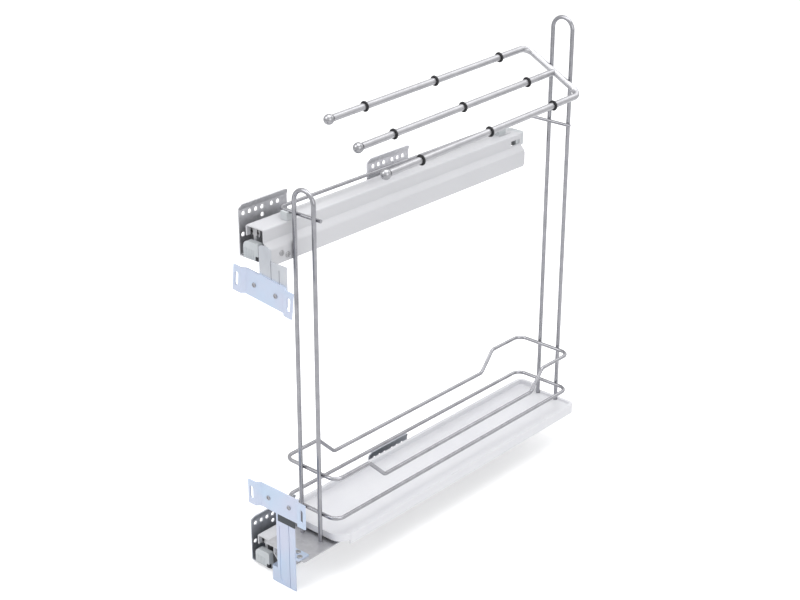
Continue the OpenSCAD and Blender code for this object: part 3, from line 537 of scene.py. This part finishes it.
@dataclass
class Studio:
    """Floor, lamps, world and the camera of the photograph."""

    azimuth: float = 41.55
    elevation: float = 23.95
    roll: float = 0.15
    distance: float = 1.811
    target: Point = (0.0596, 0.1556, 0.2346)
    lens: float = 71.99
    far_clip: float = 100.0
    lamp_aim: Point = (0.05, 0.2, 0.2)
    lamps: tuple[Lamp, ...] = (
        Lamp("overhead", (0.2, 0.3, 2.6), 2.2, 34.0),
        Lamp("key", (-0.9, -1.5, 1.9), 1.4, 14.0),
        Lamp("fill", (2.2, -0.4, 1.0), 1.6, 8.0),
        Lamp("rear", (0.3, 2.2, 1.8), 1.6, 8.0),
    )
    dome_tone: Colour = (0.97, 0.98, 1.0)
    dome_strength: float = 0.62
    backdrop_tone: Colour = (1.0, 1.0, 1.0)
    backdrop_strength: float = 1.0
    floor_size: float = 30.0
    floor_gap: float = 0.0005
    floor_tone: float = 0.93
    floor_roughness: float = 0.9
    floor_glow: float = 0.45

    def camera(self) -> None:
        """Places the camera at the photograph's angle."""
        a, e, r = (math.radians(v) for v in (self.azimuth, self.elevation, self.roll))
        back = Vector((math.sin(a) * math.cos(e), -math.cos(a) * math.cos(e), math.sin(e)))
        right = Axis.Z.vector.cross(back).normalized()
        up = back.cross(right)
        turned_right = right * math.cos(r) + up * math.sin(r)
        turned_up = up * math.cos(r) - right * math.sin(r)
        turn = Matrix((turned_right, turned_up, back)).transposed().to_4x4()
        data = bpy.data.cameras.new("camera")
        data.lens = self.lens
        data.clip_end = self.far_clip
        camera = bpy.data.objects.new("camera", data)
        bpy.context.scene.collection.objects.link(camera)
        camera.matrix_world = Matrix.Translation(Vector(self.target) + back * self.distance) @ turn
        bpy.context.scene.camera = camera

    def light(self, lamp: Lamp) -> None:
        """Adds a lamp that faces the unit.

        Args:
            lamp: The lamp.
        """
        data = bpy.data.lights.new(lamp.name, "AREA")
        data.size = lamp.side
        data.energy = lamp.watts
        made = bpy.data.objects.new(lamp.name, data)
        bpy.context.scene.collection.objects.link(made)
        turn = (Vector(self.lamp_aim) - Vector(lamp.at)).to_track_quat("-Z", "Y").to_matrix().to_4x4()
        made.matrix_world = Matrix.Translation(lamp.at) @ turn

    def world(self) -> None:
        """White to the camera, in reflections and through glass, and a soft dome for the light."""
        world = bpy.data.worlds.new("studio")
        world.use_nodes = True
        graph = Graph(world.node_tree)
        seen = graph.node("ShaderNodeLightPath", {}, {}, "Is Camera Ray")
        for ray in ("Is Glossy Ray", "Is Transmission Ray"):
            other = graph.node("ShaderNodeLightPath", {}, {}, ray)
            seen = graph.node("ShaderNodeMath", {"operation": "MAXIMUM"}, {0: seen, 1: other})
        dome, backdrop = (
            graph.node("ShaderNodeBackground", {}, {"Color": (*tone, 1.0), "Strength": strength})
            for tone, strength in (
                (self.dome_tone, self.dome_strength), (self.backdrop_tone, self.backdrop_strength))
        )
        mixed = graph.node("ShaderNodeMixShader", {}, {0: seen, 1: dome, 2: backdrop})
        graph.close("ShaderNodeOutputWorld", mixed)
        bpy.context.scene.world = world

    def floor(self, height: float) -> None:
        """Adds the pale floor just under the object.

        Args:
            height: The object's lowest point.
        """
        place = (0.0, 0.0, height - self.floor_gap)
        bpy.ops.mesh.primitive_plane_add(size=self.floor_size, location=place)
        floor = bpy.context.object
        floor.name = "floor"
        s = Shader("pale_floor")
        seen = s.node("ShaderNodeLightPath", {}, {}, "Is Camera Ray")
        glow = s.blend(seen, (0.0, 0.0, 0.0), (self.floor_glow,) * 3)
        floor.data.materials.append(s.surface(
            Base_Color=(self.floor_tone, self.floor_tone, self.floor_tone, 1.0),
            Roughness=self.floor_roughness,
            Emission_Color=glow,
            Emission_Strength=1.0,
        ))
        floor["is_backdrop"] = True

    def build(self, height: float) -> None:
        """Sets up the whole studio.

        Args:
            height: The object's lowest point, which the floor lies just under.
        """
        self.camera()
        for lamp in self.lamps:
            self.light(lamp)
        self.world()
        self.floor(height)
        bpy.context.scene.view_settings.view_transform = "Standard"


class Element(Enum):
    """What is picked in edit mode."""

    EDGE = "EDGE"
    FACE = "FACE"


class Recess(Enum):
    """What is sunk into a fastener's head."""

    DIMPLE = "dimple"
    CROSS = "cross"


class Bench:
    """The modelling steps that the pieces share, in millimetres and degrees."""

    weld = 0.004
    flat_turn = 0.4
    fold_merge = 0.03
    fold_least_l = 3
    fold_least_turn = 20
    fold_along_share = 0.999
    fold_flank_share = 1.3
    fold_segments = 5
    break_turn = 32
    smooth_turn = 38

    @staticmethod
    def only(*pieces: bpy.types.Object) -> None:
        """Selects some pieces alone.

        Args:
            *pieces: The pieces; the first is made active.
        """
        bpy.ops.object.select_all(action="DESELECT")
        for piece in pieces:
            piece.select_set(True)
        bpy.context.view_layer.objects.active = pieces[0]

    @classmethod
    def open_whole(cls, piece: bpy.types.Object) -> None:
        """Puts a piece in edit mode with all of it selected.

        Args:
            piece: The piece.
        """
        cls.only(piece)
        bpy.ops.object.mode_set(mode="EDIT")
        bpy.ops.mesh.select_all(action="SELECT")

    @classmethod
    def copy_of(cls, node: bpy.types.Object, name: str) -> bpy.types.Object:
        """Copies a CAD node as a piece with whole faces.

        Args:
            node: The CAD node.
            name: The piece's name.

        Returns:
            The copy, merged and without its triangles.
        """
        piece = bpy.data.objects.new(name, node.data.copy())
        bpy.context.scene.collection.objects.link(piece)
        piece.data.materials.clear()
        cls.open_whole(piece)
        bpy.ops.mesh.remove_doubles(threshold=cls.weld * MM)
        bpy.ops.mesh.dissolve_limited(angle_limit=math.radians(cls.flat_turn))
        bpy.ops.object.mode_set(mode="OBJECT")
        return piece

    @staticmethod
    def pick(
        piece: bpy.types.Object,
        kind: Element,
        test: Callable[[bmesh.types.BMEdge | bmesh.types.BMFace], bool],
    ) -> int:
        """Selects the edges or faces that pass a test, in edit mode.

        Args:
            piece: The piece being edited.
            kind: Whether edges or faces are picked.
            test: Says whether one is picked.

        Returns:
            How many were picked.
        """
        bpy.ops.mesh.select_mode(type=kind.value)
        bpy.ops.mesh.select_all(action="DESELECT")
        shape = bmesh.from_edit_mesh(piece.data)
        elements = shape.edges if kind is Element.EDGE else shape.faces
        found = [element for element in elements if test(element)]
        for element in found:
            element.select_set(True)
        shape.select_flush_mode()
        bmesh.update_edit_mesh(piece.data)
        return len(found)

    @classmethod
    def round_folds(cls, piece: bpy.types.Object, along: Vector, sheet: float, radius: float) -> None:
        """Rounds a sheet's folds: the outer edge wider than the inner one.

        Where a fold's edges are short the bevel leaves vertices on top of each other, which
        would spoil the shading, so they are merged.

        Args:
            piece: The folded sheet.
            along: The direction of its folds.
            sheet: Its thickness in millimetres.
            radius: The fold's inner radius in millimetres.
        """
        least = sheet * cls.fold_flank_share * MM

        def fold(edge: bmesh.types.BMEdge, convex: bool) -> bool:
            """Says whether an edge is a fold of the asked side.

            Args:
                edge: The edge.
                convex: Whether the outer side is asked.

            Returns:
                True for a long straight fold between two flanks wider than the sheet.
            """
            if len(edge.link_faces) != 2 or edge.calc_length() < cls.fold_least_l * MM:
                return False
            way = (edge.verts[1].co - edge.verts[0].co).normalized()
            turned = edge.calc_face_angle(0.0) >= math.radians(cls.fold_least_turn)
            if abs(way.dot(along)) < cls.fold_along_share or not turned:
                return False
            wide = all(face.calc_area() / edge.calc_length() > least for face in edge.link_faces)
            return wide and edge.is_convex == convex

        cls.only(piece)
        for convex, width in ((True, radius + sheet), (False, radius)):
            bpy.ops.object.mode_set(mode="EDIT")
            if cls.pick(piece, Element.EDGE, lambda edge: fold(edge, convex)):
                bpy.ops.mesh.bevel(
                    offset=width * MM, segments=cls.fold_segments, affect="EDGES", clamp_overlap=True)
            bpy.ops.object.mode_set(mode="OBJECT")
        cls.open_whole(piece)
        bpy.ops.mesh.remove_doubles(threshold=cls.fold_merge * MM)
        bpy.ops.object.mode_set(mode="OBJECT")

    @classmethod
    def soften(cls, piece: bpy.types.Object, width: float, segments: int = 2) -> None:
        """Breaks a piece's sharp edges.

        Args:
            piece: The piece.
            width: The bevel's width in millimetres.
            segments: Its segments.
        """
        cls.only(piece)
        bevel = piece.modifiers.new("edges", "BEVEL")
        bevel.width = width * MM
        bevel.segments = segments
        bevel.limit_method = "ANGLE"
        bevel.angle_limit = math.radians(cls.break_turn)
        bpy.ops.object.modifier_apply(modifier=bevel.name)
        cls.shade(piece)

    @classmethod
    def shade(cls, piece: bpy.types.Object) -> None:
        """Shades the rounded parts smooth and keeps the large faces flat.

        Args:
            piece: The piece, already active.
        """
        bpy.ops.object.shade_smooth_by_angle(angle=math.radians(cls.smooth_turn))
        even = piece.modifiers.new("flat_faces", "WEIGHTED_NORMAL")
        even.keep_sharp = True
        bpy.ops.object.modifier_apply(modifier=even.name)

    @classmethod
    def cut(cls, piece: bpy.types.Object, tool: bpy.types.Object) -> None:
        """Takes a tool's shape out of a piece.

        Args:
            piece: The piece.
            tool: The tool, which is removed.
        """
        cls.only(piece)
        boolean = piece.modifiers.new("cut", "BOOLEAN")
        boolean.operation = "DIFFERENCE"
        boolean.object = tool
        bpy.ops.object.modifier_apply(modifier=boolean.name)
        bpy.data.objects.remove(tool, do_unlink=True)

    @classmethod
    def join(cls, pieces: Sequence[bpy.types.Object], name: str) -> bpy.types.Object:
        """Joins pieces into one.

        Args:
            pieces: The pieces.
            name: The name of the whole.

        Returns:
            The joined piece.
        """
        cls.only(*pieces)
        bpy.ops.object.join()
        pieces[0].name = name
        return pieces[0]

    @classmethod
    def solids(cls, node: bpy.types.Object) -> list[tuple[Vector, Vector]]:
        """Finds the separate solids of a node.

        Args:
            node: The CAD node.

        Returns:
            The lowest and highest corner of each solid, sorted by the lowest.
        """
        shape = bmesh.new()
        shape.from_mesh(node.data)
        bmesh.ops.remove_doubles(shape, verts=shape.verts, dist=cls.weld * MM)
        left, boxes = set(shape.verts), []
        while left:
            stack = [left.pop()]
            island = list(stack)
            while stack:
                last = stack.pop()
                near = {edge.other_vert(last) for edge in last.link_edges} & left
                left -= near
                island.extend(near)
                stack.extend(near)
            low = Vector(min(v.co[i] for v in island) for i in range(3))
            high = Vector(max(v.co[i] for v in island) for i in range(3))
            boxes.append((low, high))
        shape.free()
        return sorted(boxes, key=lambda box: tuple(box[0]))


@dataclass
class Unit:
    """The whole unit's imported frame, and how a finished piece joins it."""

    frame: dict
    body_of: dict[str, str] = field(init=False)
    slot_of: dict[str, str] = field(init=False)

    def __post_init__(self) -> None:
        """Notes each node's body and material slot."""
        bodies = self.frame["record"]["behaviour"]["bodies"]
        self.body_of = {node: body for body, nodes in bodies.items() for node in nodes}
        self.slot_of = {part["node"]: part["material_slot"] for part in self.frame["record"]["subparts"]}

    def node(self, name: str) -> bpy.types.Object:
        """A CAD node."""
        return self.frame["nodes"][name]

    def dress_nodes(self) -> None:
        """Gives every CAD node its own finish, or that of its slot."""
        for name, node in self.frame["nodes"].items():
            finish = OWN_FINISHES.get(name, SLOT_FINISHES[self.slot_of[name]])
            node.data.materials.clear()
            node.data.materials.append(finish.material())

    def fit(self, piece: bpy.types.Object, name: str, finish: Finish | None = None) -> None:
        """Puts a piece in a node's place.

        Args:
            piece: The finished piece.
            name: The node it stands for.
            finish: Its finish, where it isn't the slot's.
        """
        slot = self.slot_of[name]
        piece.data.materials.clear()
        piece.data.materials.append((finish or SLOT_FINISHES[slot]).material())
        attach(piece, self.body_of[name])
        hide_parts(name)
        LOG.info("%s: %d faces", piece.name, len(piece.data.polygons))


@dataclass(frozen=True)
class Crease:
    """A crease in a door bracket: its X and its lowest and highest Z in millimetres."""

    x: float
    low: float
    high: float


@dataclass
class SheetParts:
    """Folded and punched sheet: wall brackets, covers, carrier, door plates and door brackets."""

    unit: Unit
    sheet: float = 1.5
    fold: float = 0.6
    burr: float = 0.16
    plate_tilt: float = 6.2
    front_y: float = -42.55
    crease_r: float = 0.6
    crease_sunk: float = 0.5
    crease_sides: int = 24
    crease_end_share: float = 0.8
    crease_end_segments: int = 3
    level_within: float = 0.001
    upper_creases: tuple[Crease, ...] = (Crease(58.6, 296.0, 344.0), Crease(70.5, 296.0, 336.0))
    lower_creases: tuple[Crease, ...] = (Crease(73.4, -52.0, 62.0),)

    def folded(self, node: str, folds: Sequence[Vector]) -> bpy.types.Object:
        """Copies a sheet node and rounds its folds.

        Args:
            node: The CAD node.
            folds: The directions of its folds.

        Returns:
            The piece.
        """
        piece = Bench.copy_of(self.unit.node(node), node + "_sheet")
        for along in folds:
            Bench.round_folds(piece, along, self.sheet, self.fold)
        return piece

    def punched(self, node: str, folds: Sequence[Vector], finish: Finish | None = None) -> None:
        """Makes a sheet part with rounded folds and broken edges.

        Args:
            node: The CAD node it stands for.
            folds: The directions of its folds.
            finish: Its finish, where it isn't the slot's.
        """
        piece = self.folded(node, folds)
        Bench.soften(piece, self.burr)
        self.unit.fit(piece, node, finish)

    def plate(self, node: str, fold: Vector) -> None:
        """Makes a door plate, whose edges stay sharp.

        Args:
            node: The CAD node it stands for.
            fold: The direction of its folds.
        """
        piece = self.folded(node, (fold,))
        Bench.shade(piece)
        self.unit.fit(piece, node)

    def roller(self, crease: Crease) -> bpy.types.Object:
        """Makes the tool that presses a crease, a rod with tapered ends.

        Args:
            crease: The crease.

        Returns:
            The tool, in the crease's place.
        """
        bpy.ops.object.select_all(action="DESELECT")
        bpy.ops.mesh.primitive_cylinder_add(
            vertices=self.crease_sides,
            radius=self.crease_r * MM,
            depth=(crease.high - crease.low) * MM,
            location=(
                crease.x * MM,
                (self.front_y + self.crease_sunk) * MM,
                (crease.low + crease.high) / 2 * MM,
            ),
        )
        rod = bpy.context.object
        within = self.level_within * MM
        bpy.ops.object.mode_set(mode="EDIT")
        Bench.pick(rod, Element.EDGE, lambda edge: abs(edge.verts[0].co.z - edge.verts[1].co.z) < within)
        bpy.ops.mesh.bevel(
            offset=self.crease_r * self.crease_end_share * MM,
            segments=self.crease_end_segments,
            affect="EDGES",
        )
        bpy.ops.object.mode_set(mode="OBJECT")
        return rod

    def creased(self, node: str, creases: Sequence[Crease], finish: Finish | None = None) -> None:
        """Makes a door bracket with creases pressed into its front face.

        Args:
            node: The CAD node it stands for.
            creases: The creases.
            finish: Its finish, where it isn't the slot's.
        """
        piece = self.folded(node, (Axis.Z.vector, Axis.X.vector))
        for crease in creases:
            Bench.cut(piece, self.roller(crease))
        Bench.soften(piece, self.burr)
        self.unit.fit(piece, node, finish)

    def build(self) -> None:
        """Builds all the sheet parts."""
        for row in ("upper", "lower"):
            for end in ("front", "rear"):
                # Each wall bracket gets its own tone of painted light or painted shade.
                self.punched(f"{row}_{end}_bracket", (Axis.Y.vector,), WALL_SHEET_PAINTED_LIGHT[f"{row}_{end}"])
            self.punched(f"{row}_cover", (Axis.Y.vector,))
        self.punched("tray_carrier", ())
        tilt = Matrix.Rotation(math.radians(self.plate_tilt), 3, "Y") @ Axis.Z.vector
        self.plate("upper_door_plate", tilt)
        self.plate("lower_door_plate", Axis.Z.vector)
        self.creased("upper_door_bracket", self.upper_creases, CLEAR_ZINC)
        self.creased("lower_door_bracket", self.lower_creases)


@dataclass
class Mouldings:
    """Plastic and rubber parts with softened edges."""

    unit: Unit
    tray_edge: float = 1.0
    tray_segments: int = 3
    edge: float = 0.35
    parts: tuple[str, ...] = (
        "upper_front_cap", "lower_front_cap", "upper_bumper", "lower_bumper", "cover_end_caps",
        "front_frame_clip", "rear_frame_clip", "adjuster_strip", "soft_close_housing",
        "soft_close_end_cap", "soft_close_catch", "rear_buffers",
    )

    def moulding(self, node: str, width: float, segments: int = 2) -> None:
        """Makes one moulding.

        Args:
            node: The CAD node it stands for.
            width: How far its edges are rounded, in millimetres.
            segments: The segments of that rounding.
        """
        piece = Bench.copy_of(self.unit.node(node), node + "_moulding")
        Bench.soften(piece, width, segments)
        self.unit.fit(piece, node)

    def build(self) -> None:
        """Builds the tray and the small mouldings."""
        self.moulding("bottle_tray", self.tray_edge, self.tray_segments)
        for node in self.parts:
            self.moulding(node, self.edge)


@dataclass(frozen=True)
class FastenerKind:
    """A kind of rivet or screw: its sizes in millimetres and what is sunk into its head."""

    head_d: float
    head_h: float
    shank_d: float
    recess: Recess


PLATE_RIVET = FastenerKind(5.5, 1.0, 3.4, Recess.DIMPLE)
CARRIER_RIVET = FastenerKind(6.5, 1.0, 3.4, Recess.DIMPLE)
BRACKET_SCREW = FastenerKind(6.5, 1.0, 3.4, Recess.CROSS)


@dataclass
class Fasteners:
    """Rivets and screws with turned heads."""

    unit: Unit
    head_sides: int = 36
    crown_share: float = 0.6
    crown_segments: int = 4
    rim_share: float = 0.99
    facing_down: float = 0.9
    facing_up: float = 0.99
    dimple_rim_share: float = 0.125
    dimple_depth_share: float = 0.4
    cross_share: float = 0.62
    cross_w: float = 0.9
    burr: float = 0.08

    def blank(self, kind: FastenerKind, shank_l: float) -> bpy.types.Object:
        """Turns a head with its shank, upright at the origin and left in edit mode.

        Args:
            kind: The kind of fastener.
            shank_l: The shank's length in metres.

        Returns:
            The fastener without its recess.
        """
        head_d, head_h, shank_d = kind.head_d * MM, kind.head_h * MM, kind.shank_d * MM
        bpy.ops.object.select_all(action="DESELECT")
        bpy.ops.mesh.primitive_cylinder_add(
            vertices=self.head_sides, radius=head_d / 2, depth=head_h, location=(0.0, 0.0, head_h / 2))
        piece = bpy.context.object
        bpy.ops.object.transform_apply(location=True, rotation=True, scale=True)
        bpy.ops.object.mode_set(mode="EDIT")
        Bench.pick(piece, Element.FACE, lambda face: face.normal.z < -self.facing_down)
        bpy.ops.mesh.inset(thickness=(head_d - shank_d) / 2)
        bpy.ops.mesh.extrude_region_move(TRANSFORM_OT_translate={"value": (0.0, 0.0, -shank_l)})
        rim = head_h * self.rim_share
        Bench.pick(piece, Element.EDGE, lambda edge: all(v.co.z > rim for v in edge.verts))
        bpy.ops.mesh.bevel(
            offset=head_h * self.crown_share, segments=self.crown_segments, affect="EDGES")
        return piece

    def dimple(self, piece: bpy.types.Object, kind: FastenerKind) -> None:
        """Sinks a flat round dimple into a head, in edit mode.

        Args:
            piece: The fastener.
            kind: The kind of fastener.
        """
        Bench.pick(piece, Element.FACE, lambda face: (
            face.normal.z > self.facing_up and face.calc_center_median().z > 0))
        bpy.ops.mesh.inset(thickness=kind.head_d * MM * self.dimple_rim_share)
        depth = kind.head_h * MM * self.dimple_depth_share
        bpy.ops.mesh.extrude_region_move(TRANSFORM_OT_translate={"value": (0.0, 0.0, -depth)})

    def cross(self, piece: bpy.types.Object, kind: FastenerKind) -> None:
        """Cuts a cross recess into a head.

        Args:
            piece: The fastener.
            kind: The kind of fastener.
        """
        head_h = kind.head_h * MM
        long, wide = kind.head_d * MM * self.cross_share, self.cross_w * MM
        for size in ((long, wide), (wide, long)):
            bpy.ops.mesh.primitive_cube_add(size=1.0, location=(0.0, 0.0, head_h))
            blade = bpy.context.object
            blade.scale = (*size, head_h)
            Bench.cut(piece, blade)

    def one(self, kind: FastenerKind, seat: Vector, way: Vector, shank_l: float) -> bpy.types.Object:
        """Makes a fastener along a direction.

        Args:
            kind: The kind of fastener.
            seat: The underside of its head.
            way: The direction that its head faces.
            shank_l: The shank's length in metres.

        Returns:
            The fastener, its place in its mesh.
        """
        piece = self.blank(kind, shank_l)
        if kind.recess is Recess.DIMPLE:
            self.dimple(piece, kind)
        bpy.ops.object.mode_set(mode="OBJECT")
        if kind.recess is Recess.CROSS:
            self.cross(piece, kind)
        Bench.only(piece)
        piece.matrix_world = Matrix.Translation(seat) @ way.to_track_quat("Z", "Y").to_matrix().to_4x4()
        bpy.ops.object.transform_apply(location=True, rotation=True, scale=True)
        Bench.soften(piece, self.burr)
        return piece

    def group(self, node: str, kind: FastenerKind, way: Vector) -> None:
        """Makes the fasteners of a node.

        Args:
            node: The node that holds them.
            kind: Their kind.
            way: The direction that their heads face.
        """
        made = []
        for low, high in Bench.solids(self.unit.node(node)):
            middle, reach = (low + high) / 2, abs((high - low).dot(way))
            seat = middle + way * (reach / 2 - kind.head_h * MM)
            made.append(self.one(kind, seat, way, reach - kind.head_h * MM))
        self.unit.fit(Bench.join(made, node + "_turned"), node)

    def build(self) -> None:
        """Makes the rivets and screws of the door plates, door brackets and carrier."""
        for row in ("upper", "lower"):
            self.group(f"{row}_plate_rivets", PLATE_RIVET, -Axis.Y.vector)
        self.group("upper_bracket_screws", BRACKET_SCREW, Axis.X.vector)
        self.group("lower_bracket_screws", BRACKET_SCREW, Axis.Z.vector)
        self.group("carrier_rivets", CARRIER_RIVET, Axis.Z.vector)


def main() -> None:
    """Builds the object's looks and the studio."""
    logging.basicConfig(level=logging.INFO, format="%(message)s")
    unit = Unit(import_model())
    cad_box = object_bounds()
    Studio().build(cad_box[0].z)
    unit.dress_nodes()
    for group in (SheetParts(unit), Mouldings(unit), Fasteners(unit)):
        group.build()


if __name__ == "__main__":
    main()
